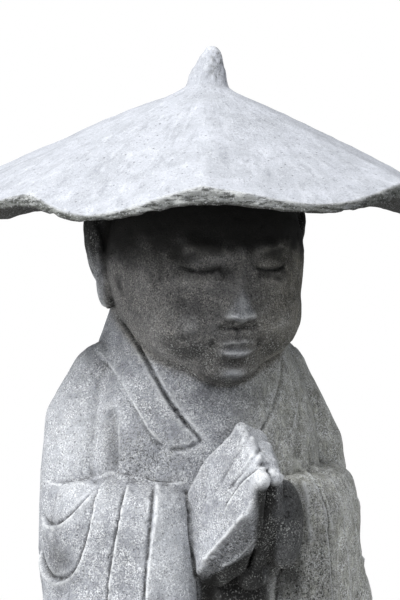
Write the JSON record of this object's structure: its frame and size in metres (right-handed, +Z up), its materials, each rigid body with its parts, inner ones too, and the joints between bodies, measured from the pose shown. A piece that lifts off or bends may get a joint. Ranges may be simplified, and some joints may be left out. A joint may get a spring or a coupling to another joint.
{
  "type": "stone jizo statue",
  "caption": "Standing stone jizo with joined hands in a draped robe on a low base, under a separate lotus-leaf stone hat that rests on its shaved head.",
  "frame": {"origin": "middle of the base's flat underside, straight below the stem of the hat", "axes": "+Z up, the figure faces -Y, its right hand is on the -X side"},
  "size_m": [0.5209, 0.5136, 1],
  "materials": {
    "figure_stone": "carved grey stone, weathered, fine pale grains, dark in the hollows",
    "hat_stone": "carved stone bleached pale by rain and sun, pitted, darker along the rim"
  },
  "bodies": {
    "root": {"figure": "figure_stone", "hat": "hat_stone"}
  },
  "joints": []
}
